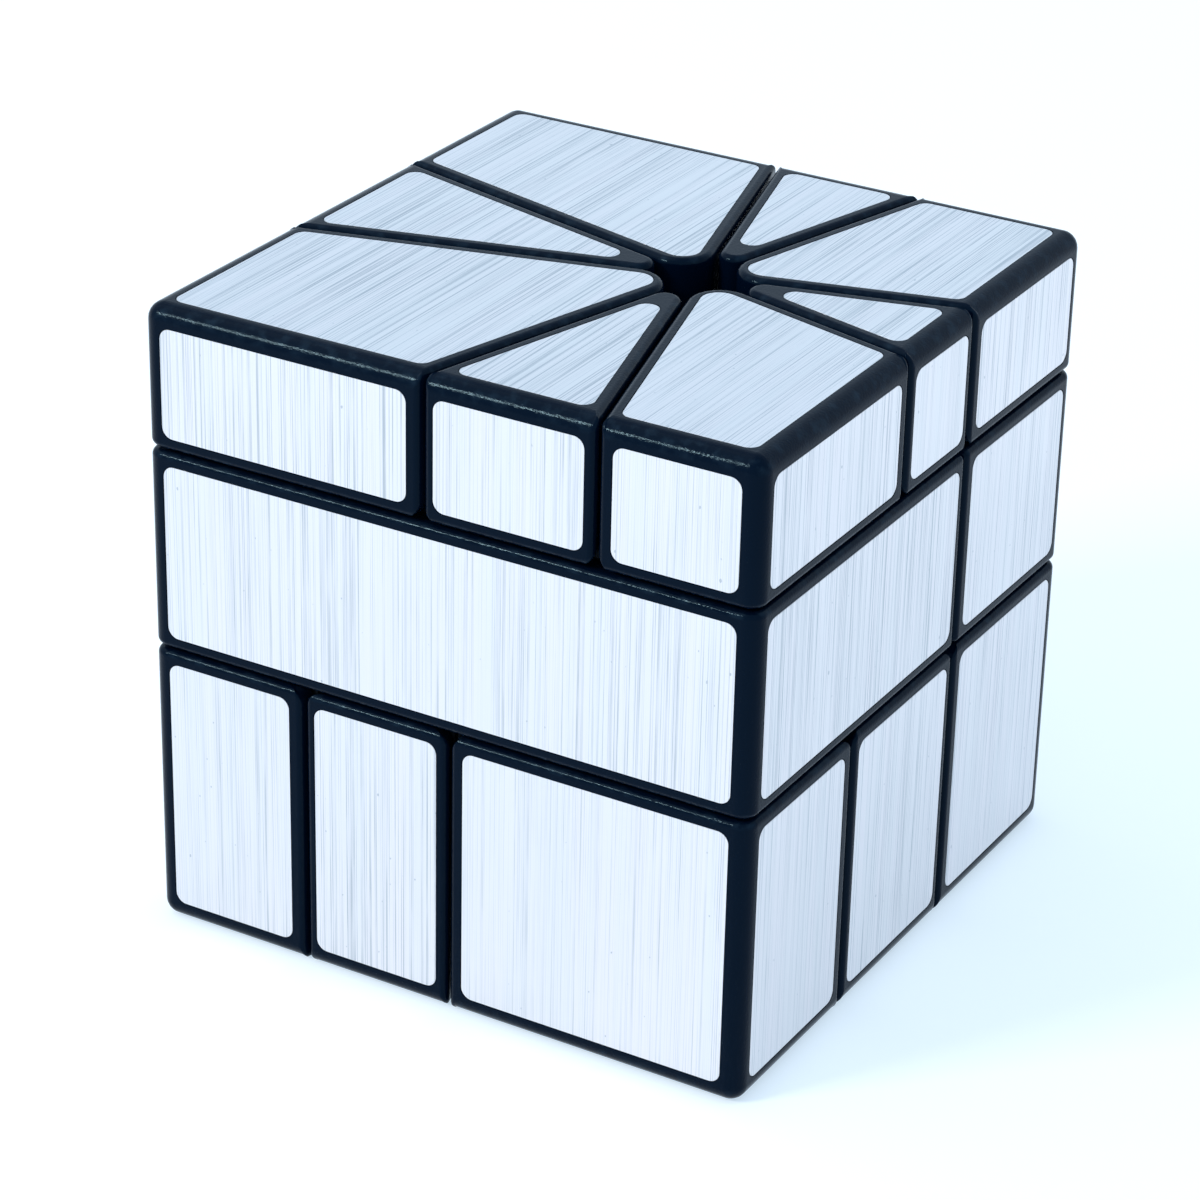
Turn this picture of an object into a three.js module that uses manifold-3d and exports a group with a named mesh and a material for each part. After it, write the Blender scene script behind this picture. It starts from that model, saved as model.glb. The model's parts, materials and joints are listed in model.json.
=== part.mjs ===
// A mirror-block Square-1: a twisty puzzle whose outer layers turn about two parallel upright axes,
// and whose back half flips about an axis square to the slice plane.
//
// Frame: millimetres, +X right along the front face, +Y to the back, +Z up, origin at the middle of
// the bottom face. In each layer, heights are counted outward from the plane where the layer meets
// the middle layer, so the top and the bottom layer share one construction.

import * as THREE from "three";
import { mergeVertices } from "three/addons/utils/BufferGeometryUtils.js";
import Module from "manifold-3d";

const wasm = await Module();
wasm.setup();

// ---------------------------------------------------------------- driving dimensions

const CUBE_SIDE = 57;
const MIDDLE_HEIGHT = 18.2;
const BOTTOM_HEIGHT = 26.1;
const TOP_HEIGHT = CUBE_SIDE - MIDDLE_HEIGHT - BOTTOM_HEIGHT;

const SLICE_HEADING = 15; // degrees from +X to the line where the slice plane cuts the plan
const AXIS_OFFSET = 6.42; // from the cube's middle to each layer's axis, along that line
const CORNER_ANGLE = 60;
const EDGE_ANGLE = 30;

const GAP = 0.3; // between any two neighbours
const OUTER_RADIUS = 1.5; // upright edges of the cube
const CUT_RADIUS = 0.6; // edges where a cut meets an outer face
const CORNER_TIP_RADIUS = 2.9;
const EDGE_TIP_RADIUS = 1.4;
const BEVEL = 0.5;
const WALL = 1.6; // caps
const COVER_WALL = 2;

const HUB = {
  postRadius: 4.5,
  flangeRadius: 10,
  flangeLow: 3.5,
  flangeHigh: 5,
  rimInnerRadius: 8.2,
  rimLow: 2.3,
  spigotRadius: 4.2,
  spigotDepth: 2,
};

const FOOT = {
  plateHigh: 2,
  ridgeRadius: 7.9,
  ridgeHigh: 3.2,
  plugHigh: 4.5,
};

const HUB_SCREW = {
  offset: 2.6, // from the slice plane
  shaftRadius: 0.9,
  headRadius: 1.8,
  headHeight: 1.2,
  recess: 0.7,
  length: 9,
};

const FRAME = {
  plate: 2.4, // top and bottom plates, and the wall along the slice plane
  bossHalfLength: 10.5,
  bossDepth: 8,
  tubeRadius: 5.6,
  tubeDepth: 15,
  ribAt: 19,
  ribThickness: 1.6,
};

const LUG = { width: 6, depth: 3, spacing: 40 };

const SLICE_SCREW = {
  shaftRadius: 1.5,
  headRadius: 2.9,
  headHeight: 2.2,
  headAt: 11.7, // distances from the slice plane, towards the back
  tipAt: -9,
  recess: 1.2,
};
const SPRING = {
  coilRadius: 2.5,
  wireRadius: 0.4,
  from: 4,
  to: 10.1,
  turns: 4,
  stepsPerTurn: 12,
  wireSides: 6,
};
const WASHER = { radius: 3.2, thickness: 0.6, at: 10.8 };
const NUT = { sides: 6, radius: 3.1, thickness: 2.4, at: -6.4 };
const SCREW_SHARES = { // of the shaft's radius, the head's radius and the head's height
  tip: 0.6,
  crown: 0.7,
  blade: 0.6,
  shoulder: 0.5,
  recessFloor: 0.4,
};
const BEARING_WALL = 3; // left between the slice plane and the spring's seat
const NUT_WALL = 3.7;

const ARC_STEPS = 2; // doubled by three.js on each rounded corner
const ROUND_STEPS = 36;
const SMALL_ROUND_STEPS = 12;
const OVERLAP = 1; // how far a cutting solid runs past what it cuts

// ---------------------------------------------------------------- materials

const plastic = (color, roughness) => new THREE.MeshStandardMaterial({ color, roughness, metalness: 0 });
const metal = (color, roughness) => new THREE.MeshStandardMaterial({ color, roughness, metalness: 1 });

const MATERIALS = {
  cap: () => plastic(0x0d131c, 0.35),
  foot: () => plastic(0x15181d, 0.5),
  frame: () => plastic(0x12161c, 0.45),
  hub: () => plastic(0x1c1f24, 0.4),
  steel: () => metal(0xb8bcc0, 0.3),
  blackSteel: () => metal(0x1b1c1e, 0.45),
};

// ---------------------------------------------------------------- plan geometry

const heading = (degrees) => {
  const angle = THREE.MathUtils.degToRad(degrees);
  return new THREE.Vector2(Math.cos(angle), Math.sin(angle));
};
const leftOf = (direction) => new THREE.Vector2(-direction.y, direction.x);

const SLICE = heading(SLICE_HEADING);
const SLICE_NORMAL = leftOf(SLICE);
const ORIGIN = new THREE.Vector2();

/** The cube's plan, drawn in by an inset, counter-clockwise. */
function square(inset) {
  const half = CUBE_SIDE / 2 - inset;
  return [[-1, -1], [1, -1], [1, 1], [-1, 1]].map(([x, y]) => new THREE.Vector2(x * half, y * half));
}

/** The part of a convex outline on the left of a line through a point. */
function clip(outline, point, direction) {
  const side = (corner) => direction.cross(corner.clone().sub(point));
  return outline.flatMap((corner, i) => {
    const next = outline[(i + 1) % outline.length];
    const [here, there] = [side(corner), side(next)];
    const kept = here >= 0 ? [corner] : [];
    if (here * there < 0) kept.push(corner.clone().lerp(next, here / (here - there)));
    return kept;
  });
}

/** One half of an outline, drawn in from the slice plane; side is +1 at the back, -1 at the front. */
function halfOutline(outline, side, inset) {
  return clip(outline, SLICE_NORMAL.clone().multiplyScalar(side * inset), SLICE.clone().multiplyScalar(side));
}

/** A piece's sector of the plan, about its own layer's axis, drawn in from the faces and the cuts. */
function sectorOutline({ axis, from, to }, faceInset, cutInset) {
  const cut = (outline, direction) => {
    const point = axis.clone().addScaledVector(leftOf(direction), cutInset);
    return clip(outline, point, direction);
  };
  const outline = cut(cut(square(faceInset), heading(from)), heading(to).negate());
  return outline.map((corner) => corner.clone().sub(axis));
}

/** A shape with a true arc at each corner of a counter-clockwise outline. */
function roundedShape(outline, radiusAt) {
  const shape = new THREE.Shape();
  outline.forEach((corner, i) => {
    const back = outline.at(i - 1).clone().sub(corner).normalize();
    const on = outline[(i + 1) % outline.length].clone().sub(corner).normalize();
    const halfAngle = Math.acos(back.dot(on)) / 2;
    const radius = radiusAt(corner);
    const bisector = back.clone().add(on).normalize();
    const centre = corner.clone().addScaledVector(bisector, radius / Math.sin(halfAngle));
    const start = leftOf(back).angle();
    const end = leftOf(on).negate().angle();
    shape.absarc(centre.x, centre.y, radius, start, end, false);
  });
  return shape;
}

// ---------------------------------------------------------------- solids

/** A manifold solid from a closed three.js geometry. */
function solid(geometry) {
  geometry.deleteAttribute("normal");
  geometry.deleteAttribute("uv");
  const merged = mergeVertices(geometry);
  return new wasm.Manifold(new wasm.Mesh({
    numProp: 3,
    vertProperties: merged.attributes.position.array,
    triVerts: new Uint32Array(merged.index.array),
  }));
}

/** An upright prism between two heights, given in either order. */
function prism(shape, heightA, heightB, bevel = 0) {
  const low = Math.min(heightA, heightB);
  const high = Math.max(heightA, heightB);
  const geometry = new THREE.ExtrudeGeometry(shape, {
    depth: high - low - 2 * bevel,
    curveSegments: ARC_STEPS,
    bevelEnabled: bevel > 0,
    bevelThickness: bevel,
    bevelSize: bevel,
    bevelOffset: -bevel,
    bevelSegments: 1,
  });
  geometry.translate(0, 0, low + bevel);
  return solid(geometry);
}

const polygonPrism = (outline, heightA, heightB) => prism(new THREE.Shape(outline), heightA, heightB);

/** An upright drum about a point of the plan. */
function drum(radius, heightA, heightB, centre = ORIGIN, steps = ROUND_STEPS) {
  const geometry = new THREE.CylinderGeometry(radius, radius, Math.abs(heightB - heightA), steps);
  geometry.rotateX(Math.PI / 2);
  geometry.translate(centre.x, centre.y, (heightA + heightB) / 2);
  return solid(geometry);
}

/** A rod along the slice axis, local +Y, between two distances from the slice plane. */
function rod(radius, from, to, steps = SMALL_ROUND_STEPS) {
  const geometry = new THREE.CylinderGeometry(radius, radius, to - from, steps);
  geometry.translate(0, (from + to) / 2, 0);
  return solid(geometry);
}

/** A rod along the slice axis, turned from its local frame into the plan. */
const sliceRod = (...dimensions) => rod(...dimensions).rotate([0, 0, SLICE_HEADING]);

/** A box set square to the slice plane: half its length along the plane, a depth range across it. */
function sliceBox(halfLength, from, to, halfHeight, centreAlong = 0) {
  const corners = [[-halfLength, from], [halfLength, from], [halfLength, to], [-halfLength, to]];
  const outline = corners.map(([along, across]) =>
    SLICE.clone().multiplyScalar(centreAlong + along).addScaledVector(SLICE_NORMAL, across));
  return polygonPrism(outline, -halfHeight, halfHeight);
}

/** A plain box between two corners. */
function box(low, high) {
  const size = high.map((value, i) => value - low[i]);
  const geometry = new THREE.BoxGeometry(...size);
  geometry.translate(...low.map((value, i) => value + size[i] / 2));
  return solid(geometry);
}

/** A named mesh from a manifold solid. */
function mesh(name, body, material) {
  const { vertProperties, triVerts } = body.getMesh();
  const geometry = new THREE.BufferGeometry();
  geometry.setAttribute("position", new THREE.BufferAttribute(vertProperties, 3));
  geometry.setIndex(new THREE.BufferAttribute(triVerts, 1));
  geometry.computeVertexNormals();
  const result = new THREE.Mesh(geometry, material);
  result.name = name;
  return result;
}

// ---------------------------------------------------------------- outer layers

// Eight pieces round each axis, counter-clockwise from the slice plane. The first four lie behind it.
const PIECE_NAMES = [
  "corner_back_right", "edge_back", "corner_back_left", "edge_left",
  "corner_front_left", "edge_front", "corner_front_right", "edge_right",
];
const PIECES_PER_HALF = PIECE_NAMES.length / 2;

const LAYERS = [
  { name: "top", up: 1, height: TOP_HEIGHT, axisSide: 1 },
  { name: "bottom", up: -1, height: BOTTOM_HEIGHT, axisSide: -1 },
].map((layer) => ({
  ...layer,
  axis: SLICE.clone().multiplyScalar(layer.axisSide * AXIS_OFFSET),
  plane: layer.up * MIDDLE_HEIGHT / 2,
}));

const SIDES = [{ name: "front", side: -1 }, { name: "back", side: 1 }];

/** The sectors of one layer, each with its name, its angles and the radius of its inner tip. */
function sectors(layer) {
  let angle = SLICE_HEADING;
  return PIECE_NAMES.map((name, index) => {
    const isCorner = name.startsWith("corner");
    const from = angle;
    angle += isCorner ? CORNER_ANGLE : EDGE_ANGLE;
    return {
      name: `${layer.name}_${name}`,
      side: index < PIECES_PER_HALF ? 1 : -1,
      axis: layer.axis,
      from,
      to: angle,
      tipRadius: isCorner ? CORNER_TIP_RADIUS : EDGE_TIP_RADIUS,
    };
  });
}

/** A corner of a sector's outline is its inner tip, an upright edge of the cube, or a cut's end. */
function cornerRadius(sector, corner) {
  if (corner.length() < HUB.postRadius) return sector.tipRadius;
  const fromMiddle = corner.clone().add(sector.axis);
  const isCubeEdge = Math.abs(Math.abs(fromMiddle.x) - Math.abs(fromMiddle.y)) < GAP;
  return isCubeEdge ? OUTER_RADIUS : CUT_RADIUS;
}

/** A hollow cap: outer walls all the way down, and clearance for its foot and for the hub. */
function cap(sector, layer) {
  const up = (height) => layer.up * height;
  const shape = roundedShape(sectorOutline(sector, 0, GAP / 2), (corner) => cornerRadius(sector, corner));
  const footHigh = FOOT.plateHigh + GAP;
  const footRoom = polygonPrism(sectorOutline(sector, WALL, -OVERLAP), up(-OVERLAP), up(footHigh));
  const hubRoom = drum(HUB.flangeRadius + GAP, up(-OVERLAP), up(HUB.flangeHigh + GAP));
  const hollow = polygonPrism(sectorOutline(sector, WALL, GAP / 2 + WALL), up(GAP), up(layer.height - WALL))
    .subtract(drum(HUB.flangeRadius + GAP + WALL, 0, up(layer.height)));
  return prism(shape, up(GAP / 2), up(layer.height), BEVEL)
    .subtract(footRoom)
    .subtract(hubRoom)
    .subtract(hollow);
}

/** A foot: base plate, plug that fits inside the cap, and the ridge that hooks behind the hub's rim. */
function foot(sector, layer) {
  const up = (height) => layer.up * height;
  const outline = sectorOutline(sector, WALL + GAP, GAP / 2);
  const plate = polygonPrism(outline, up(GAP / 2), up(FOOT.plateHigh));
  const ridge = polygonPrism(outline, up(GAP / 2), up(FOOT.ridgeHigh))
    .intersect(drum(FOOT.ridgeRadius, 0, up(FOOT.ridgeHigh + OVERLAP)));
  const plugOutline = sectorOutline(sector, WALL + GAP, GAP / 2 + WALL + GAP);
  const plug = polygonPrism(plugOutline, up(GAP), up(FOOT.plugHigh))
    .subtract(drum(HUB.flangeRadius + WALL + 2 * GAP, 0, up(layer.height)));
  const postRoom = drum(HUB.postRadius + GAP, up(-OVERLAP), up(HUB.flangeHigh));
  return plate.add(ridge).add(plug).subtract(postRoom);
}

/** Half of a hub: spigot, post and flange with a turned-down rim, split at the slice plane. */
function hub(layer, side) {
  const up = (height) => layer.up * height;
  const rim = drum(HUB.flangeRadius, up(HUB.rimLow), up(HUB.flangeHigh))
    .subtract(drum(HUB.rimInnerRadius, up(HUB.rimLow - OVERLAP), up(HUB.flangeLow)));
  const post = drum(HUB.postRadius, up(GAP / 2), up(HUB.flangeHigh));
  const spigot = drum(HUB.spigotRadius, up(-HUB.spigotDepth), up(OVERLAP));
  const half = polygonPrism(halfOutline(square(0), side, GAP / 2), -CUBE_SIDE, CUBE_SIDE);
  return rim.add(post).add(spigot).intersect(half).subtract(hubScrewRoom(layer, side));
}

/** Clearance for a hub screw: counterbore in the flange and a hole on down into the frame. */
function hubScrewRoom(layer, side) {
  const up = (height) => layer.up * height;
  const centre = SLICE_NORMAL.clone().multiplyScalar(side * HUB_SCREW.offset);
  const seat = HUB.flangeHigh - HUB_SCREW.headHeight;
  const counterbore = drum(HUB_SCREW.headRadius + GAP, up(seat - GAP), up(HUB.flangeHigh + OVERLAP), centre,
    SMALL_ROUND_STEPS);
  const hole = drum(HUB_SCREW.shaftRadius + GAP, up(seat - HUB_SCREW.length - GAP), up(seat), centre,
    SMALL_ROUND_STEPS);
  return counterbore.add(hole);
}

/** A screw along local +Y: head above the origin with a cross recess, shaft below. */
function screw({ shaftRadius, headRadius, headHeight, recess }, length) {
  const { tip, crown, blade, shoulder, recessFloor } = SCREW_SHARES;
  const profile = [
    [0, -length], [shaftRadius * tip, -length], [shaftRadius, -length + shaftRadius], [shaftRadius, 0],
    [headRadius, 0], [headRadius, headHeight * shoulder], [headRadius * crown, headHeight], [0, headHeight],
  ].map((point) => new THREE.Vector2(...point));
  const turned = solid(new THREE.LatheGeometry(profile, SMALL_ROUND_STEPS));
  const [reach, width] = [headRadius * blade, recess / 2];
  const blades = [[reach, width], [width, reach]].map(([x, z]) =>
    box([-x, headHeight * recessFloor, -z], [x, headHeight + OVERLAP, z]));
  return turned.subtract(blades[0]).subtract(blades[1]);
}

/** Everything that belongs to one outer layer, in a group on the layer's axis. */
function buildLayer(layer) {
  const group = new THREE.Group();
  group.position.set(layer.axis.x, layer.axis.y, layer.plane);
  for (const sector of sectors(layer)) {
    group.add(mesh(`${sector.name}_cap`, cap(sector, layer), MATERIALS.cap()));
    group.add(mesh(`${sector.name}_foot`, foot(sector, layer), MATERIALS.foot()));
  }
  for (const { name, side } of SIDES) {
    group.add(mesh(`hub_${layer.name}_${name}`, hub(layer, side), MATERIALS.hub()));
    const fastener = mesh(`hub_screw_${layer.name}_${name}`, screw(HUB_SCREW, HUB_SCREW.length),
      MATERIALS.blackSteel());
    const centre = SLICE_NORMAL.clone().multiplyScalar(side * HUB_SCREW.offset);
    fastener.position.set(centre.x, centre.y, layer.up * (HUB.flangeHigh - HUB_SCREW.headHeight));
    fastener.rotation.x = layer.up * Math.PI / 2;
    group.add(fastener);
  }
  return group;
}

// ---------------------------------------------------------------- middle layer

const MIDDLE_HALF_HEIGHT = MIDDLE_HEIGHT / 2 - GAP / 2;
const POCKET_HALF_HEIGHT = MIDDLE_HALF_HEIGHT - FRAME.plate;

/** A middle cover: three outer walls of one half, with lugs that reach between the frame's plates. */
function cover(side) {
  const outline = halfOutline(square(0), side, GAP / 2);
  const isCubeEdge = (corner) => Math.abs(Math.abs(corner.x) - Math.abs(corner.y)) < GAP;
  const radiusAt = (corner) => (isCubeEdge(corner) ? OUTER_RADIUS : CUT_RADIUS);
  const inside = polygonPrism(square(COVER_WALL), -MIDDLE_HEIGHT, MIDDLE_HEIGHT);
  const walls = prism(roundedShape(outline, radiusAt), -MIDDLE_HALF_HEIGHT, MIDDLE_HALF_HEIGHT, BEVEL)
    .subtract(inside);
  const innerFace = CUBE_SIDE / 2 - COVER_WALL + GAP;
  const lugHalfHeight = POCKET_HALF_HEIGHT - GAP;
  return [-1, 1].reduce((body, end) => {
    const middle = end * LUG.spacing / 2;
    const [near, far] = [side * (innerFace - GAP - LUG.depth), side * innerFace].sort((a, b) => a - b);
    const low = [middle - LUG.width / 2, near, -lugHalfHeight];
    const high = [middle + LUG.width / 2, far, lugHalfHeight];
    return body.add(box(low, high));
  }, walls);
}

/** A middle frame: plates joined by a wall on the slice plane, a boss for the hubs, ribs and bores. */
function frame(side) {
  const across = (distance) => side * distance;
  const outline = halfOutline(square(COVER_WALL + GAP), side, GAP / 2);
  const bossEnd = across(FRAME.bossDepth);
  const tube = sliceRod(FRAME.tubeRadius, Math.min(0, across(FRAME.tubeDepth)),
    Math.max(0, across(FRAME.tubeDepth)), ROUND_STEPS);
  let pocket = polygonPrism(halfOutline(square(-OVERLAP), side, GAP / 2 + FRAME.plate),
    -POCKET_HALF_HEIGHT, POCKET_HALF_HEIGHT)
    .subtract(sliceBox(FRAME.bossHalfLength, Math.min(0, bossEnd), Math.max(0, bossEnd), MIDDLE_HEIGHT))
    .subtract(tube);
  for (const end of [-1, 1]) {
    const rib = sliceBox(FRAME.ribThickness / 2, -CUBE_SIDE, CUBE_SIDE, MIDDLE_HEIGHT, end * FRAME.ribAt);
    pocket = pocket.subtract(rib);
  }
  let body = polygonPrism(outline, -MIDDLE_HALF_HEIGHT, MIDDLE_HALF_HEIGHT).subtract(pocket);
  for (const layer of LAYERS) {
    const socket = drum(HUB.spigotRadius + GAP, layer.up * (-HUB.spigotDepth - GAP), layer.up * OVERLAP);
    const room = socket.add(hubScrewRoom(layer, side));
    body = body.subtract(room.translate([layer.axis.x, layer.axis.y, layer.plane]));
  }
  const screwHole = sliceRod(SLICE_SCREW.shaftRadius + GAP, -CUBE_SIDE, CUBE_SIDE);
  return body.subtract(screwHole).subtract(bearingRoom(side));
}

/** Room for the spring, washer and head behind the slice plane, or for the nut in front of it. */
function bearingRoom(side) {
  return side > 0
    ? sliceRod(WASHER.radius + GAP, BEARING_WALL + GAP / 2, CUBE_SIDE)
    : sliceRod(NUT.radius + GAP, -CUBE_SIDE, -NUT_WALL, NUT.sides);
}

/** The centre line of the spring's wire: an open helix about local +Y. */
class Helix extends THREE.Curve {
  getPoint(t, target = new THREE.Vector3()) {
    const turn = 2 * Math.PI * SPRING.turns * t;
    return target.set(
      SPRING.coilRadius * Math.cos(turn),
      THREE.MathUtils.lerp(SPRING.from, SPRING.to, t),
      SPRING.coilRadius * Math.sin(turn),
    );
  }
}

function spring() {
  const wire = new THREE.Shape();
  wire.absarc(0, 0, SPRING.wireRadius, 0, 2 * Math.PI, false);
  return solid(new THREE.ExtrudeGeometry(wire, {
    extrudePath: new Helix(),
    steps: SPRING.turns * SPRING.stepsPerTurn,
    curveSegments: SPRING.wireSides / 2,
    bevelEnabled: false,
  }));
}

/** The screw, spring, washer and nut that hold the two halves together. */
function buildSliceBearing() {
  const group = new THREE.Group();
  group.rotation.z = THREE.MathUtils.degToRad(SLICE_HEADING);
  const sliceScrew = mesh("slice_screw", screw(SLICE_SCREW, SLICE_SCREW.headAt - SLICE_SCREW.tipAt),
    MATERIALS.steel());
  sliceScrew.position.y = SLICE_SCREW.headAt;
  const hole = rod(SLICE_SCREW.shaftRadius + GAP, -CUBE_SIDE, CUBE_SIDE);
  const washer = rod(WASHER.radius, WASHER.at, WASHER.at + WASHER.thickness).subtract(hole);
  const nut = rod(NUT.radius, NUT.at, NUT.at + NUT.thickness, NUT.sides).subtract(hole);
  group.add(sliceScrew);
  group.add(mesh("slice_spring", spring(), MATERIALS.steel()));
  group.add(mesh("slice_washer", washer, MATERIALS.steel()));
  group.add(mesh("slice_nut", nut, MATERIALS.steel()));
  return group;
}

function buildMiddle() {
  const group = new THREE.Group();
  for (const { name, side } of SIDES) {
    group.add(mesh(`middle_${name}_cover`, cover(side), MATERIALS.cap()));
    group.add(mesh(`middle_${name}_frame`, frame(side), MATERIALS.frame()));
  }
  group.add(buildSliceBearing());
  return group;
}

// ---------------------------------------------------------------- the whole puzzle

const puzzle = new THREE.Group();
puzzle.position.z = BOTTOM_HEIGHT + MIDDLE_HEIGHT / 2;
puzzle.add(...LAYERS.map(buildLayer), buildMiddle());

export default puzzle;
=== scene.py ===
"""The looks of a mirror-block Square-1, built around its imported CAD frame.

Everything is in metres and in the CAD's own frame: +X right along the front face, +Y to the back, +Z up.
"""

import json
import math
import random

import bmesh
import bpy
from mathutils import Matrix, Vector


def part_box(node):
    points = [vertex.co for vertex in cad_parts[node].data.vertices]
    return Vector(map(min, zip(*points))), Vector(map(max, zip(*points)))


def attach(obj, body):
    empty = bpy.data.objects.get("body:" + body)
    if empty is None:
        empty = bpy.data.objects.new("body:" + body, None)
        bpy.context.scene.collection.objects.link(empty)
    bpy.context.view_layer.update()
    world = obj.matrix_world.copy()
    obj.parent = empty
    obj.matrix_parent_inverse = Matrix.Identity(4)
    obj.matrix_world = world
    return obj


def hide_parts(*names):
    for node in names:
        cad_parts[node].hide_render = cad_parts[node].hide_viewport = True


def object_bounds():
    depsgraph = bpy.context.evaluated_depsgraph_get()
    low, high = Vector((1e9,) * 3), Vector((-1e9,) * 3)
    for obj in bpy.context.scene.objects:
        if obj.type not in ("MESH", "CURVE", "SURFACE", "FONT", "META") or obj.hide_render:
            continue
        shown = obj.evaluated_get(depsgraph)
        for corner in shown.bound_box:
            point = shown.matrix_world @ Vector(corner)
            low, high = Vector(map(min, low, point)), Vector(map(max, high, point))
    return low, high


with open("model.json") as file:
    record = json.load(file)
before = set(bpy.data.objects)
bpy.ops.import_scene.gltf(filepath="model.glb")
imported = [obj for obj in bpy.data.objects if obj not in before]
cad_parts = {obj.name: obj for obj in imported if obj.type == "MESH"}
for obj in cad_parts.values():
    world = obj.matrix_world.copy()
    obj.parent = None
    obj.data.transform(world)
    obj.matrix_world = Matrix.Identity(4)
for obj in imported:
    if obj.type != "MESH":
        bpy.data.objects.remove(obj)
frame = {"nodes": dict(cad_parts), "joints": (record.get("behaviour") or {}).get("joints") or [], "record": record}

CAD_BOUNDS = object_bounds()
MM = 0.001

# ---------------------------------------------------------------- sizes set here

FOIL = 0.08 * MM  # sticker thickness
POCKET = 0.1 * MM  # depth of the pocket that each sticker lies in
POCKET_GAP = 0.07 * MM  # between a sticker's edge and its pocket's wall
OUTER_ROUND = 1.5 * MM  # edges between two outer faces
CUT_ROUND = 0.6 * MM  # edges where a cut meets a face
CUT_END_ROUND = 1.5 * MM  # edges where a cut meets the side towards the middle layer
CORNER_TIP_ROUND = 2.9 * MM  # a piece's inner tip, at the layer's axis
EDGE_TIP_ROUND = 1.4 * MM
OUTER_MARGIN = 1.8 * MM  # from a cube edge to the foil
CUT_MARGIN = 1.1 * MM  # from a cut face to the foil
FOIL_ROUND = 1.0 * MM  # a sticker's corners
FOIL_CORNER_TIP_ROUND = 1.6 * MM  # and its inner tip
FOIL_EDGE_TIP_ROUND = 1.05 * MM
FOIL_RIM = 0.02 * MM  # how far a sticker's top edge is rolled over
SIDE_BRUSHING = (0.9, 1.7)  # least and most depth of the brushing on the four sides
END_BRUSHING = (1.7, 2.3)  # and on the top and bottom faces
BRUSH_SHIFT = 900  # how far apart, in mm, two stickers may lie on the roll they are cut from
ARC_STEPS = 8  # of an outline's corner
ROUND_STEPS = 6  # of a rolled edge
DRUM_STEPS = 96  # of a full circle
CUTTER_REACH = 1 * MM  # how far a cutting solid runs past what it cuts
LEAST_RADIUS = 0.01 * MM  # of an outline's corner once it is drawn in
WELD = 0.004 * MM  # vertices closer than this are one
CAD_EASING = 0.12 * MM  # bevel on the CAD pieces that stay
CAD_EASED_ANGLE = 40  # on edges sharper than this
CAD_SHARP_ANGLE = 30  # edges sharper than this stay crisp in the shading
SHARP_ANGLE = 32  # the same for the pieces made here

CORNER_ANGLE = 60
EDGE_ANGLE = 30
PIECES = (
    "corner_back_right", "edge_back", "corner_back_left", "edge_left",
    "corner_front_left", "edge_front", "corner_front_right", "edge_right",
)

# ---------------------------------------------------------------- sizes read from the frame

JOINTS = {joint["name"]: joint for joint in frame["joints"]}
HALF = (CAD_BOUNDS[1][0] - CAD_BOUNDS[0][0]) / 2
SLICE_NORMAL = Vector(JOINTS["slice_turn"]["axis"][:2])
SLICE_HEADING = math.degrees(math.atan2(-SLICE_NORMAL.x, SLICE_NORMAL.y))
MIDDLE_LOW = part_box("middle_front_cover")[0].z
MIDDLE_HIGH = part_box("middle_front_cover")[1].z
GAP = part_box("top_corner_front_left_cap")[0].z - MIDDLE_HIGH
FOOT_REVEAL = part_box("top_corner_front_left_foot")[0].x + HALF  # cap wall and gap
CAP_WALL = FOOT_REVEAL - GAP
COVER_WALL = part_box("middle_front_frame")[0].x + HALF - GAP


def reach(node, axis):
    """The farthest that a CAD node's vertices lie from an upright axis."""
    return max((vertex.co.xy - axis).length for vertex in frame["nodes"][node].data.vertices)


class Layer:
    """One outer layer: its axis, and heights counted outward from the middle layer."""

    def __init__(self, name, up):
        self.name, self.up = name, up
        self.axis = Vector(JOINTS[f"{name}_turn"]["pos_m"][:2])
        self.plane = JOINTS[f"{name}_turn"]["pos_m"][2]
        low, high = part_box(f"{name}_corner_front_left_cap")
        self.height = max(abs(high.z - self.plane), abs(low.z - self.plane))
        hub_low, hub_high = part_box(f"hub_{name}_front")
        self.hub_height = abs((hub_high if up > 0 else hub_low).z - self.plane)
        self.hub_radius = reach(f"hub_{name}_front", self.axis)
        self.foot_height = self.foot_plate_height()

    def foot_plate_height(self):
        """The height of the foot's plate, well outside the ridge and the plug: at the outer rim."""
        vertices = frame["nodes"][f"{self.name}_edge_front_foot"].data.vertices
        outer = min(vertex.co.y for vertex in vertices)
        heights = [abs(v.co.z - self.plane) for v in vertices if v.co.y < outer + GAP / 2]
        return max(heights)

    def z(self, height):
        return self.plane + self.up * height


LAYERS = [Layer("top", 1), Layer("bottom", -1)]


class Sector:
    """The wedge of a layer that one piece fills, between two headings about the layer's axis."""

    def __init__(self, layer, index):
        self.name = f"{layer.name}_{PIECES[index]}"
        self.layer = layer
        self.is_corner = PIECES[index].startswith("corner")
        widths = [CORNER_ANGLE if piece.startswith("corner") else EDGE_ANGLE for piece in PIECES]
        self.start = SLICE_HEADING + sum(widths[:index])
        self.end = self.start + widths[index]
        side = "back" if index < len(PIECES) / 2 else "front"
        self.body = f"{layer.name}_{side}_pieces"


SECTORS = [Sector(layer, index) for layer in LAYERS for index in range(len(PIECES))]

# ---------------------------------------------------------------- plan outlines
# An outline is a counter-clockwise list of (corner, kind of the side that starts there).

FACE, CUT = "face", "cut"


def heading(degrees):
    angle = math.radians(degrees)
    return Vector((math.cos(angle), math.sin(angle)))


def left_of(direction):
    return Vector((-direction.y, direction.x))


def square(half):
    return [(Vector((x * half, y * half)), FACE) for x, y in ((-1, -1), (1, -1), (1, 1), (-1, 1))]


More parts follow.
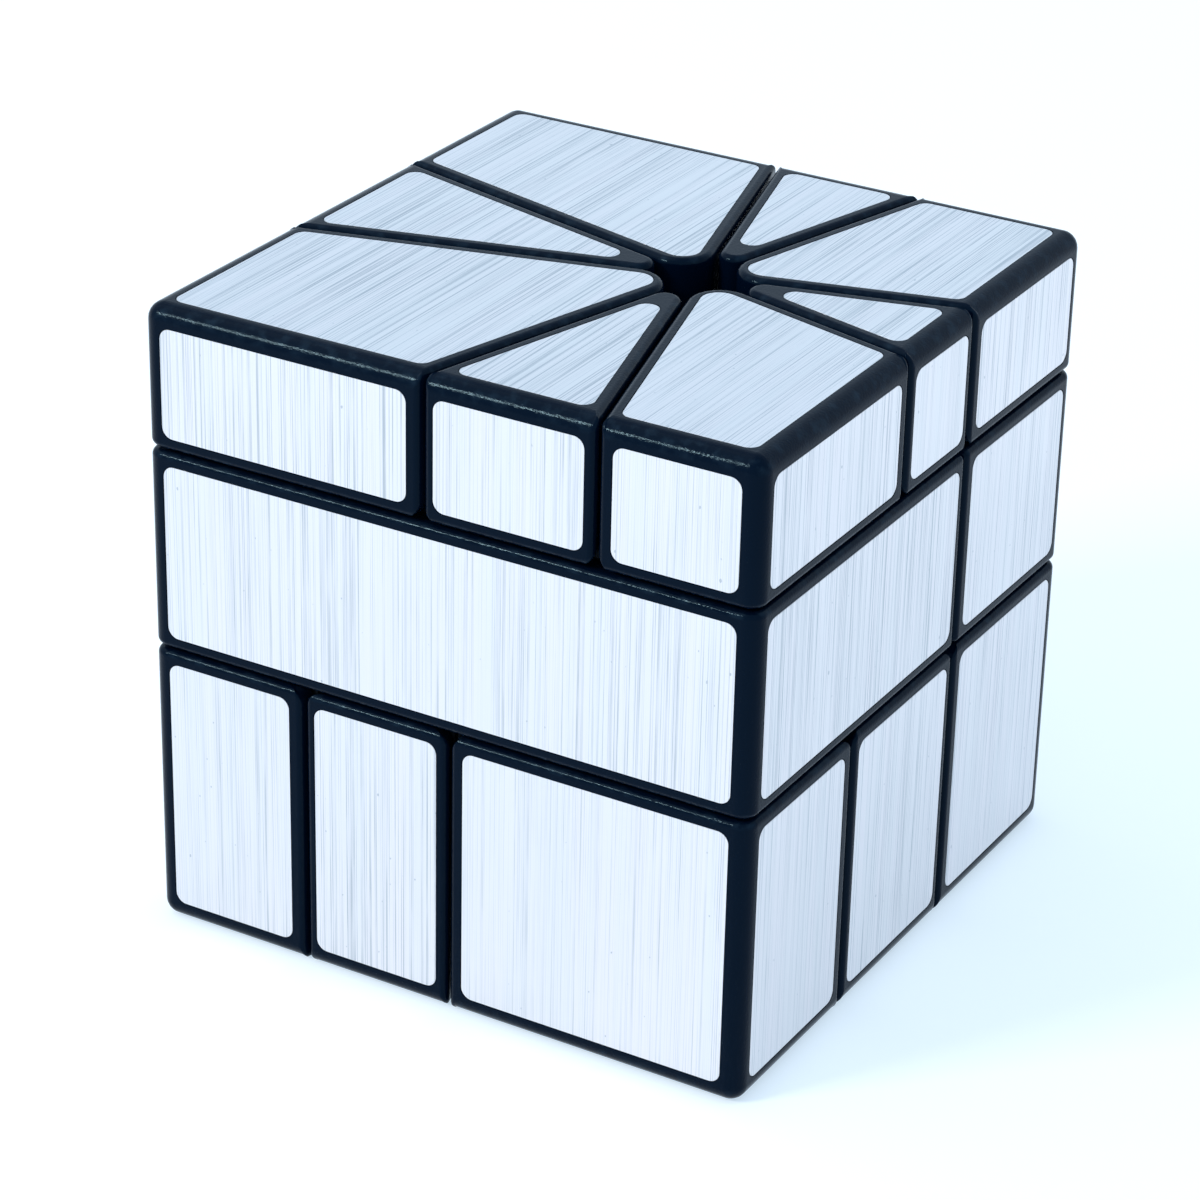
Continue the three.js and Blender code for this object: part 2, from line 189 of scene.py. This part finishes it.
def clip(outline, point, direction):
    """The part of a convex outline on the left of a line, which becomes a cut side."""
    kept = []
    for i, (corner, kind) in enumerate(outline):
        following = outline[(i + 1) % len(outline)][0]
        here = direction.cross(corner - point)
        there = direction.cross(following - point)
        if here >= 0:
            kept.append((corner, kind))
        if here * there < 0:
            crossing = corner.lerp(following, here / (here - there))
            kept.append((crossing, CUT if here > 0 else kind))
    return kept


def sector_outline(sector, half, cut_inset):
    outline = square(half)
    for direction in (heading(sector.start), -heading(sector.end)):
        outline = clip(outline, sector.layer.axis + left_of(direction) * cut_inset, direction)
    return outline


def half_outline(side, half, cut_inset):
    """Half of the plan: side is +1 behind the slice plane and -1 in front of it."""
    return clip(square(half), SLICE_NORMAL * side * cut_inset, heading(SLICE_HEADING) * side)


def is_cube_edge(outline, i):
    return outline[i][1] == FACE and outline[i - 1][1] == FACE


def is_tip(outline, i):
    return outline[i][1] == CUT and outline[i - 1][1] == CUT


def ring(outline, inset_of, radius_of):
    """The outline drawn in by each side's inset, with an arc at each corner.

    Returns (point, kind before, kind after, share of the arc) for every point.
    """
    points = []
    for i, (corner, kind) in enumerate(outline):
        before, before_kind = outline[i - 1]
        after = outline[(i + 1) % len(outline)][0]
        arriving = (corner - before).normalized()
        leaving = (after - corner).normalized()
        turn = arriving.angle(leaving)
        inset_before, inset_after = inset_of(before_kind), inset_of(kind)
        radius = max(radius_of(i) - (inset_before + inset_after) / 2, LEAST_RADIUS)
        sine = math.sin(turn)
        offset_before, offset_after = inset_before + radius, inset_after + radius
        centre = corner + (leaving * offset_before - arriving * offset_after) / sine
        for step in range(ARC_STEPS + 1):
            share = step / ARC_STEPS
            angle = math.atan2(arriving.y, arriving.x) - math.pi / 2 + turn * share
            point = centre + Vector((math.cos(angle), math.sin(angle))) * radius
            points.append((point, before_kind, kind, share))
    return points


# ---------------------------------------------------------------- solids


def new_object(name, mesh_tools):
    mesh = bpy.data.meshes.new(name)
    mesh_tools.to_mesh(mesh)
    mesh_tools.free()
    piece = bpy.data.objects.new(name, mesh)
    bpy.context.scene.collection.objects.link(piece)
    return piece


def loft(name, rings, edge_values):
    """A closed solid through rings of the same length, with the 'edge' attribute set on each ring."""
    tools = bmesh.new()
    layer = tools.verts.layers.float.new("edge")
    rows = []
    for points, value in zip(rings, edge_values):
        row = [tools.verts.new(point) for point in points]
        for vertex in row:
            vertex[layer] = value
        rows.append(row)
    count = len(rows[0])
    for lower, upper in zip(rows, rows[1:]):
        for i in range(count):
            j = (i + 1) % count
            tools.faces.new((lower[i], lower[j], upper[j], upper[i]))
    tools.faces.new(rows[0][::-1])
    tools.faces.new(rows[-1])
    bmesh.ops.remove_doubles(tools, verts=tools.verts, dist=WELD)
    bmesh.ops.recalc_face_normals(tools, faces=tools.faces)
    return new_object(name, tools)


def rounded_prism(name, outline, low, high, round_low, round_high, radius_of):
    """An upright solid whose end edges are rolled over; each side kind has its own rounding."""
    rings, edge_values = [], []

    def add_end(height, sign, rounds, angles):
        for angle in angles:
            inset = {kind: value * (1 - math.cos(angle)) for kind, value in rounds.items()}
            row = []
            for point, before, after, share in ring(outline, inset.get, radius_of):
                roll = rounds[before] + (rounds[after] - rounds[before]) * share
                row.append(Vector((*point, height - sign * roll * (1 - math.sin(angle)))))
            rings.append(row)
            edge_values.append(math.sin(2 * angle))

    quarter = [math.pi / 2 * step / ROUND_STEPS for step in range(ROUND_STEPS + 1)]
    add_end(low, -1, round_low, quarter[::-1])
    add_end(high, 1, round_high, quarter)
    return loft(name, rings, edge_values)


def plain_prism(name, corners, low, high):
    low, high = min(low, high), max(low, high)
    rings = [[Vector((*corner, height)) for corner in corners] for height in (low, high)]
    return loft(name, rings, (0, 0))


def drum(name, centre, radius, low, high):
    """An upright cylinder with its ends at two heights."""
    turns = [2 * math.pi * step / DRUM_STEPS for step in range(DRUM_STEPS)]
    rim = [centre + Vector((math.cos(turn), math.sin(turn))) * radius for turn in turns]
    return plain_prism(name, rim, low, high)


def cut(piece, cutter):
    """Cuts a solid out of a piece. The cutter is used up."""
    modifier = piece.modifiers.new("cut", "BOOLEAN")
    modifier.operation = "DIFFERENCE"
    modifier.solver = "EXACT"
    modifier.object = cutter
    bpy.context.view_layer.update()
    evaluated = piece.evaluated_get(bpy.context.evaluated_depsgraph_get())
    mesh = bpy.data.meshes.new_from_object(evaluated)
    piece.modifiers.clear()
    old = piece.data
    piece.data = mesh
    bpy.data.meshes.remove(old)
    bpy.data.objects.remove(cutter)


def smooth(piece, angle=SHARP_ANGLE):
    """Smooth shading on the rolled edges while the large faces stay flat."""
    piece.data.shade_smooth()
    piece.data.set_sharp_from_angle(angle=math.radians(angle))
    modifier = piece.modifiers.new("flat_faces", "WEIGHTED_NORMAL")
    modifier.weight = 100  # the largest faces decide
    modifier.keep_sharp = True


def dress(piece, body, material, replaced=()):
    piece.data.materials.clear()
    piece.data.materials.append(material)
    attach(piece, body)
    if replaced:
        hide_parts(*replaced)


# ---------------------------------------------------------------- materials
# Noise scales are per metre, and for the foil per millimetre across and along the brushing.

NOISE_MIDDLE = (0.3, 0.7)  # where most of a noise's values lie

PATCH_SCALE, RUB_SCALE, GRAIN_SCALE = 160, 900, 5200
RUBBED = (0.48, 0.72)  # noise values at which an edge starts to show wear and is fully worn
GRAIN_HEIGHT = 0.02 * MM
PLASTIC_SHINE = 0.07
PLASTIC_TINT = (0.52, 0.84, 1, 1)

STEEL_PATCH_SCALE = 700
STEEL_SCRATCHES = (9000, 900, 900)
SCRATCH_HEIGHT = 0.01 * MM

FOIL_SILVER = (0.775, 0.768, 0.788, 1), (0.80, 0.774, 0.798, 1)
FOIL_DARK = (0.45, 0.48, 0.52, 1)
FOIL_PATTERNS = {  # scale across, scale along, detail, roughness; then noise from, to; then strength from, to
    "lines": ((9, 0.012, 2, 0.6), (0.52, 0.66, 0, 0.9)),
    "streaks": ((3.2, 0.008, 3, 0.7), (0.56, 0.72, 0, 1)),
    "bands": ((0.5, 0.015, 2, 0.5), (0.35, 0.65, 0, 1)),
    "gloss": ((0.1, 0.06, 2, 0.5), (0.3, 0.7, 0.3, 0.38)),
    "fading": ((3, 0.12, 2, 0.5), (0.35, 0.6, 0.35, 1)),
    "specks": ((2.5, 1.6, 0, 0.5), (0.84, 0.88, 0, 0.8)),
}


class Nodes:
    """A short way to write a node material."""

    def __init__(self, name):
        self.material = bpy.data.materials.new(name)
        self.material.use_nodes = True
        self.tree = self.material.node_tree
        self.shader = self.tree.nodes["Principled BSDF"]

    def add(self, kind, inputs=None, **settings):
        node = self.tree.nodes.new(kind)
        for key, value in settings.items():
            setattr(node, key, value)
        for key, value in (inputs or {}).items():
            self.feed(node.inputs[key], value)
        return node

    def feed(self, socket, value):
        if isinstance(value, bpy.types.NodeSocket):
            self.tree.links.new(value, socket)
        else:
            socket.default_value = value

    def set(self, **values):
        for key, value in values.items():
            self.feed(self.shader.inputs[key.replace("_", " ")], value)

    def noise(self, vector, scale, detail=2.0, roughness=0.5):
        return self.add("ShaderNodeTexNoise", {
            "Vector": vector, "Scale": scale, "Detail": detail, "Roughness": roughness,
        }).outputs["Fac"]

    def stretched(self, vector, scale):
        return self.add("ShaderNodeMapping", {"Vector": vector, "Scale": scale}).outputs["Vector"]

    def remap(self, value, low, high, to_low, to_high):
        return self.add("ShaderNodeMapRange", {
            "Value": value, "From Min": low, "From Max": high, "To Min": to_low, "To Max": to_high,
        }).outputs["Result"]

    def math(self, operation, a, b):
        node = self.add("ShaderNodeMath", operation=operation)
        self.feed(node.inputs[0], a)
        self.feed(node.inputs[1], b)
        return node.outputs["Value"]

    def mix(self, factor, a, b):
        node = self.add("ShaderNodeMix", data_type="RGBA")
        self.feed(node.inputs["Factor"], factor)
        self.feed(node.inputs["A"], a)
        self.feed(node.inputs["B"], b)
        return node.outputs["Result"]

    def bump(self, height, strength, distance):
        return self.add("ShaderNodeBump", {
            "Height": height, "Strength": strength, "Distance": distance,
        }).outputs["Normal"]

    def place(self):
        return self.add("ShaderNodeTexCoord").outputs["Object"]


def plastic(name, dark, worn, roughness, grain):
    """Moulded plastic: fine grain, uneven gloss, and edges rubbed a little paler."""
    nodes = Nodes(name)
    place = nodes.place()
    patches = nodes.noise(place, PATCH_SCALE, 3)
    fine = nodes.noise(place, GRAIN_SCALE, 2)
    edge = nodes.add("ShaderNodeAttribute", attribute_name="edge").outputs["Fac"]
    rubbed = nodes.math("MULTIPLY", edge, nodes.remap(nodes.noise(place, RUB_SCALE, 4), *RUBBED, 0, 1))
    nodes.set(
        Base_Color=nodes.mix(rubbed, (*dark, 1), (*worn, 1)),
        Roughness=nodes.remap(patches, *NOISE_MIDDLE, roughness - 0.04, roughness + 0.05),
        Normal=nodes.bump(fine, grain, GRAIN_HEIGHT),
        Specular_IOR_Level=PLASTIC_SHINE,
        Specular_Tint=PLASTIC_TINT,
    )
    return nodes.material


def brushed_foil():
    """Silver film brushed along one direction: U of the map 'brush' runs across the streaks, in mm."""
    nodes = Nodes("mirror_foil")
    across = nodes.add("ShaderNodeUVMap", uv_map="brush").outputs["UV"]
    noise, level = {}, {}
    for pattern, ((scale_across, scale_along, detail, roughness), levels) in FOIL_PATTERNS.items():
        stretched = nodes.stretched(across, (scale_across, scale_along, 1))
        noise[pattern] = nodes.noise(stretched, 1, detail, roughness)
        level[pattern] = nodes.remap(noise[pattern], *levels)
    brushing = nodes.add("ShaderNodeAttribute", attribute_name="brushing").outputs["Fac"]
    darkness = nodes.math("MULTIPLY", nodes.math("MAXIMUM", level["lines"], level["streaks"]), brushing)
    darkness = nodes.math("MULTIPLY", darkness, level["fading"])
    darkness = nodes.math("MAXIMUM", darkness, level["specks"])
    relief = nodes.math("ADD", noise["lines"], noise["streaks"])
    tangent = nodes.add("ShaderNodeTangent", direction_type="UV_MAP", uv_map="brush").outputs["Tangent"]
    nodes.set(
        Base_Color=nodes.mix(darkness, nodes.mix(level["bands"], *FOIL_SILVER), FOIL_DARK),
        Roughness=level["gloss"],
        Normal=nodes.bump(relief, 0.12, SCRATCH_HEIGHT),
        Tangent=tangent,
        Metallic=1.0,
        Anisotropic=0.6,
    )
    return nodes.material


def turned_steel(name, color, roughness):
    """Plated or blackened fastener steel with fine scratches and patchy gloss."""
    nodes = Nodes(name)
    place = nodes.place()
    patches = nodes.noise(place, STEEL_PATCH_SCALE, 4, 0.6)
    scratches = nodes.noise(nodes.stretched(place, STEEL_SCRATCHES), 1, 2)
    dull = [channel * 0.8 for channel in color]
    nodes.set(
        Base_Color=nodes.mix(patches, (*dull, 1), (*color, 1)),
        Roughness=nodes.remap(patches, *NOISE_MIDDLE, roughness - 0.06, roughness + 0.1),
        Normal=nodes.bump(scratches, 0.15, SCRATCH_HEIGHT),
        Metallic=1.0,
    )
    return nodes.material


MATERIALS = {  # plastic: colour, worn colour, roughness, grain; steel: colour, roughness
    "cap_plastic": plastic("cap_plastic", (0.0004, 0.003, 0.01), (0.006, 0.014, 0.026), 0.13, 0.9),
    "foot_plastic": plastic("foot_plastic", (0.012, 0.014, 0.018), (0.03, 0.033, 0.04), 0.45, 0.35),
    "frame_plastic": plastic("frame_plastic", (0.008, 0.011, 0.017), (0.03, 0.035, 0.045), 0.4, 0.3),
    "hub_plastic": plastic("hub_plastic", (0.016, 0.018, 0.023), (0.04, 0.045, 0.05), 0.36, 0.25),
    "black_screw": turned_steel("black_screw", (0.03, 0.03, 0.034), 0.42),
    "bearing_steel": turned_steel("bearing_steel", (0.6, 0.61, 0.63), 0.28),
    "mirror_foil": brushed_foil(),
}

# ---------------------------------------------------------------- caps and covers


def finish_shell(piece, cutters, stickers, body, node):
    """Cuts out a plastic shell's inside and its sticker pockets, and adds its stickers."""
    for cutter in cutters:
        cut(piece, cutter)
    for face, *plan in stickers:
        cut(piece, pocket(face, *plan))
        build_sticker(f"{piece.name}_foil_{face}", face, *plan, body)
    smooth(piece)
    dress(piece, body, MATERIALS["cap_plastic"], [node])


def cap_cutters(sector):
    """The room for the foot and the hub below a cap, and the hollow inside it."""
    layer = sector.layer
    room = [corner for corner, _ in sector_outline(sector, HALF - CAP_WALL, -CUTTER_REACH)]
    inside = [corner for corner, _ in sector_outline(sector, HALF - CAP_WALL, GAP / 2 + CAP_WALL)]
    below, hub_wall = layer.z(-CUTTER_REACH), layer.hub_radius + GAP
    hollow = plain_prism("hollow", inside, layer.z(GAP), layer.z(layer.height - CAP_WALL))
    core = drum("core", layer.axis, hub_wall + CAP_WALL, layer.z(0), layer.z(layer.height))
    cut(hollow, core)
    return [
        plain_prism("room", room, below, layer.z(layer.foot_height + GAP)),
        drum("hub", layer.axis, hub_wall, below, layer.z(layer.hub_height + GAP)),
        hollow,
    ]


def build_cap(sector):
    """A hollow cap: two cut sides that meet at its inner tip, and one or two outer faces."""
    layer = sector.layer
    outline = sector_outline(sector, HALF, GAP / 2)
    tip = CORNER_TIP_ROUND if sector.is_corner else EDGE_TIP_ROUND

    def radius_of(i):
        if is_cube_edge(outline, i):
            return OUTER_ROUND
        return tip if is_tip(outline, i) else CUT_ROUND

    ends = [
        (layer.z(GAP / 2), {FACE: CUT_ROUND, CUT: CUT_END_ROUND}),
        (layer.z(layer.height), {FACE: OUTER_ROUND, CUT: CUT_ROUND}),
    ]
    (low, rounds_low), (high, rounds_high) = sorted(ends, key=lambda end: end[0])
    piece = rounded_prism(f"{sector.name}_shell", outline, low, high, rounds_low, rounds_high, radius_of)
    finish_shell(piece, cap_cutters(sector), cap_stickers(sector), sector.body, f"{sector.name}_cap")


def build_cover(name, side):
    """A middle cover: the three outer walls of one half."""
    outline = half_outline(side, HALF, GAP / 2)
    rounds = {FACE: CUT_ROUND, CUT: CUT_ROUND}

    def radius_of(i):
        return OUTER_ROUND if is_cube_edge(outline, i) else CUT_ROUND

    piece = rounded_prism(f"middle_{name}_shell", outline, MIDDLE_LOW, MIDDLE_HIGH, rounds, rounds, radius_of)
    inside = [corner for corner, _ in square(HALF - COVER_WALL)]
    cutter = plain_prism("inside", inside, MIDDLE_LOW - CUTTER_REACH, MIDDLE_HIGH + CUTTER_REACH)
    stickers = side_stickers(outline, MIDDLE_LOW + CUT_MARGIN, MIDDLE_HIGH - CUT_MARGIN)
    finish_shell(piece, [cutter], stickers, f"{name}_half", f"middle_{name}_cover")


# ---------------------------------------------------------------- foil stickers
# A sticker's plan is (face, outline in the face's own two directions, radius of each corner).

# Each cube face: the direction across the brushing, the direction along it, and the outward normal.
FACES = {
    "front": (Vector((1, 0, 0)), Vector((0, 0, 1)), Vector((0, -1, 0))),
    "right": (Vector((0, 1, 0)), Vector((0, 0, 1)), Vector((1, 0, 0))),
    "back": (Vector((-1, 0, 0)), Vector((0, 0, 1)), Vector((0, 1, 0))),
    "left": (Vector((0, -1, 0)), Vector((0, 0, 1)), Vector((-1, 0, 0))),
    "top": (Vector((1, 0, 0)), Vector((0, 1, 0)), Vector((0, 0, 1))),
    "bottom": (Vector((-1, 0, 0)), Vector((0, 1, 0)), Vector((0, 0, -1))),
}
SIDES = ("front", "right", "back", "left")
MIDDLE_POINT = Vector((0, 0, (CAD_BOUNDS[0][2] + CAD_BOUNDS[1][2]) / 2))
DICE = random.Random(5)


def plate(name, face, outline, radius_of, levels):
    """A solid on a cube face through (depth below the face, inset) levels."""
    across, along, out = FACES[face]
    rings = []
    for depth, inset in levels:
        origin = MIDDLE_POINT + out * (HALF - depth)
        points = ring(outline, lambda kind: inset, radius_of)
        rings.append([origin + across * p.x + along * p.y for p, *_ in points])
    return loft(name, rings, [0] * len(rings))


def pocket(face, outline, radius_of):
    return plate("pocket", face, outline, radius_of, [(POCKET, -POCKET_GAP), (-CUTTER_REACH, -POCKET_GAP)])


def build_sticker(name, face, outline, radius_of, body):
    """A thin plate of brushed foil, with the map and the strength of its brushing."""
    top = POCKET - FOIL
    levels = [(POCKET, 0), (top + FOIL_RIM, 0), (top + FOIL_RIM / 3, FOIL_RIM / 3), (top, FOIL_RIM)]
    piece = plate(name, face, outline, radius_of, levels)
    across, along, _ = FACES[face]
    shift = Vector((DICE.uniform(0, BRUSH_SHIFT), DICE.uniform(0, BRUSH_SHIFT)))
    brush = piece.data.uv_layers.new(name="brush")
    for loop in piece.data.loops:
        place = piece.data.vertices[loop.vertex_index].co
        brush.data[loop.index].uv = Vector((place.dot(across), place.dot(along))) / MM + shift
    depth = DICE.uniform(*(SIDE_BRUSHING if face in SIDES else END_BRUSHING))
    brushing = piece.data.attributes.new("brushing", "FLOAT", "POINT")
    brushing.data.foreach_set("value", [depth] * len(piece.data.vertices))
    smooth(piece)
    dress(piece, body, MATERIALS["mirror_foil"])


def side_stickers(outline, low, high):
    """The plan of a rectangle on each cube face that an outline reaches."""
    low, high = low - MIDDLE_POINT.z, high - MIDDLE_POINT.z
    for i, (corner, kind) in enumerate(outline):
        if kind != FACE:
            continue
        j = (i + 1) % len(outline)
        middle = corner + outline[j][0]
        face = max(SIDES, key=lambda side: middle.dot(FACES[side][2].xy))
        across = FACES[face][0].xy
        margins = [OUTER_MARGIN if is_cube_edge(outline, k) else CUT_MARGIN for k in (i, j)]
        start, end = corner.dot(across) + margins[0], outline[j][0].dot(across) - margins[1]
        corners = [(start, low), (end, low), (end, high), (start, high)]
        yield face, [(Vector(corner), FACE) for corner in corners], lambda i: FOIL_ROUND


def cap_stickers(sector):
    """The plans of a cap's stickers: one on the layer's end face and one on each outer side."""
    layer = sector.layer
    outline = sector_outline(sector, HALF - OUTER_MARGIN, GAP / 2 + CUT_MARGIN)
    if layer.name == "bottom":  # this face's first direction runs to the left
        kinds = [outline[i - 1][1] for i in range(len(outline))]
        outline = [(Vector((-corner.x, corner.y)), kind) for (corner, _), kind in zip(outline, kinds)][::-1]
    tip = FOIL_CORNER_TIP_ROUND if sector.is_corner else FOIL_EDGE_TIP_ROUND
    yield layer.name, outline, lambda i: tip if is_tip(outline, i) else FOIL_ROUND

    heights = sorted((layer.z(GAP / 2 + CUT_MARGIN), layer.z(layer.height - OUTER_MARGIN)))
    yield from side_stickers(sector_outline(sector, HALF, GAP / 2), *heights)


# ---------------------------------------------------------------- CAD pieces that stay


def finish_cad_nodes():
    """The feet, frames, hubs and fasteners keep their CAD shape, with eased edges and real finishes."""
    slots = {part["node"]: part["material_slot"] for part in frame["record"]["subparts"]}
    for name, node in frame["nodes"].items():
        if node.hide_render:
            continue
        node.data.materials.clear()
        node.data.materials.append(MATERIALS[slots[name]])
        bevel = node.modifiers.new("eased_edges", "BEVEL")
        bevel.width = CAD_EASING
        bevel.segments = 2
        bevel.limit_method = "ANGLE"
        bevel.angle_limit = math.radians(CAD_EASED_ANGLE)
        smooth(node, CAD_SHARP_ANGLE)


# ---------------------------------------------------------------- stage

FLOOR_REACH = 3  # half the floor's side
FLOOR_COLOURS = (0.47, 0.46, 0.46, 1), (0.49, 0.48, 0.48, 1)
FLOOR_GLOW = (0.46, 0.56, 0.65, 1)
SKY = (  # height of the direction, colour
    (0, (0.80, 0.92, 1.04, 1)),
    (0.45, (0.78, 0.985, 1.17, 1)),
    (0.9, (0.66, 0.82, 1.0, 1)),
)
SKY_STRENGTH = 1.05
LIGHTS = {  # place, size, watts, colour
    "key": ((-0.45, -0.25, 0.9), (0.9, 0.9), 1.8, (1, 0.92, 0.84)),
    "front_softbox": ((-0.489, -0.696, 0.614), (0.24, 0.06), 5.6, (1, 0.97, 0.92)),
}
CAMERA_LENS, CAMERA_SENSOR, CAMERA_NEAR = 120.9, 36, 0.01
CAMERA_PLACE = (0.1536, -0.2694, 0.1806)
CAMERA_TARGET = (-0.0008, -0.0016, 0.0265)
CAMERA_ROLL = 1.28


def build_floor():
    """A pale matt table with a faint glow, which stands for the white paper of a studio."""
    tools = bmesh.new()
    bmesh.ops.create_grid(tools, x_segments=8, y_segments=8, size=FLOOR_REACH)
    floor = new_object("floor", tools)
    floor.location.z = CAD_BOUNDS[0][2]
    nodes = Nodes("floor")
    cloud = nodes.noise(nodes.place(), 3, 2)
    nodes.set(
        Base_Color=nodes.mix(cloud, *FLOOR_COLOURS),
        Roughness=0.9,
        Emission_Color=FLOOR_GLOW,
        Emission_Strength=1.0,
    )
    floor.data.materials.append(nodes.material)


def build_world():
    """A pale blue studio, brightest part of the way up and dimmer overhead."""
    world = bpy.data.worlds.new("studio")
    bpy.context.scene.world = world
    world.use_nodes = True
    tree = world.node_tree
    background = tree.nodes["Background"]
    place = tree.nodes.new("ShaderNodeTexCoord")
    split = tree.nodes.new("ShaderNodeSeparateXYZ")
    ramp = tree.nodes.new("ShaderNodeValToRGB")
    steps = ramp.color_ramp.elements
    while len(steps) < len(SKY):
        steps.new(0.5)
    for step, (height, color) in zip(steps, SKY):
        step.position, step.color = height, color
    tree.links.new(place.outputs["Generated"], split.inputs["Vector"])
    tree.links.new(split.outputs["Z"], ramp.inputs["Fac"])
    tree.links.new(ramp.outputs["Color"], background.inputs["Color"])
    background.inputs["Strength"].default_value = SKY_STRENGTH


def aim(thing, target, roll=0.0):
    """Turns a light or a camera towards a point, then rolls it by some degrees."""
    facing = (Vector(target) - thing.location).to_track_quat("-Z", "Y").to_matrix()
    thing.rotation_euler = (facing @ Matrix.Rotation(math.radians(roll), 3, "Z")).to_euler()


def add_light(name, place, size, power, color):
    data = bpy.data.lights.new(name, "AREA")
    data.shape = "RECTANGLE"
    data.size, data.size_y = size
    data.energy = power
    data.color = color
    light = bpy.data.objects.new(name, data)
    light.location = place
    bpy.context.scene.collection.objects.link(light)
    aim(light, MIDDLE_POINT)


def build_camera():
    data = bpy.data.cameras.new("camera")
    data.lens, data.sensor_width, data.clip_start = CAMERA_LENS, CAMERA_SENSOR, CAMERA_NEAR
    camera = bpy.data.objects.new("camera", data)
    camera.location = CAMERA_PLACE
    bpy.context.scene.collection.objects.link(camera)
    aim(camera, CAMERA_TARGET, CAMERA_ROLL)
    bpy.context.scene.camera = camera


# ---------------------------------------------------------------- the whole puzzle

for sector in SECTORS:
    build_cap(sector)
for name, side in (("front", -1), ("back", 1)):
    build_cover(name, side)
finish_cad_nodes()

build_floor()
build_world()
for name, settings in LIGHTS.items():
    add_light(name, *settings)
build_camera()
bpy.context.scene.view_settings.view_transform = "Standard"
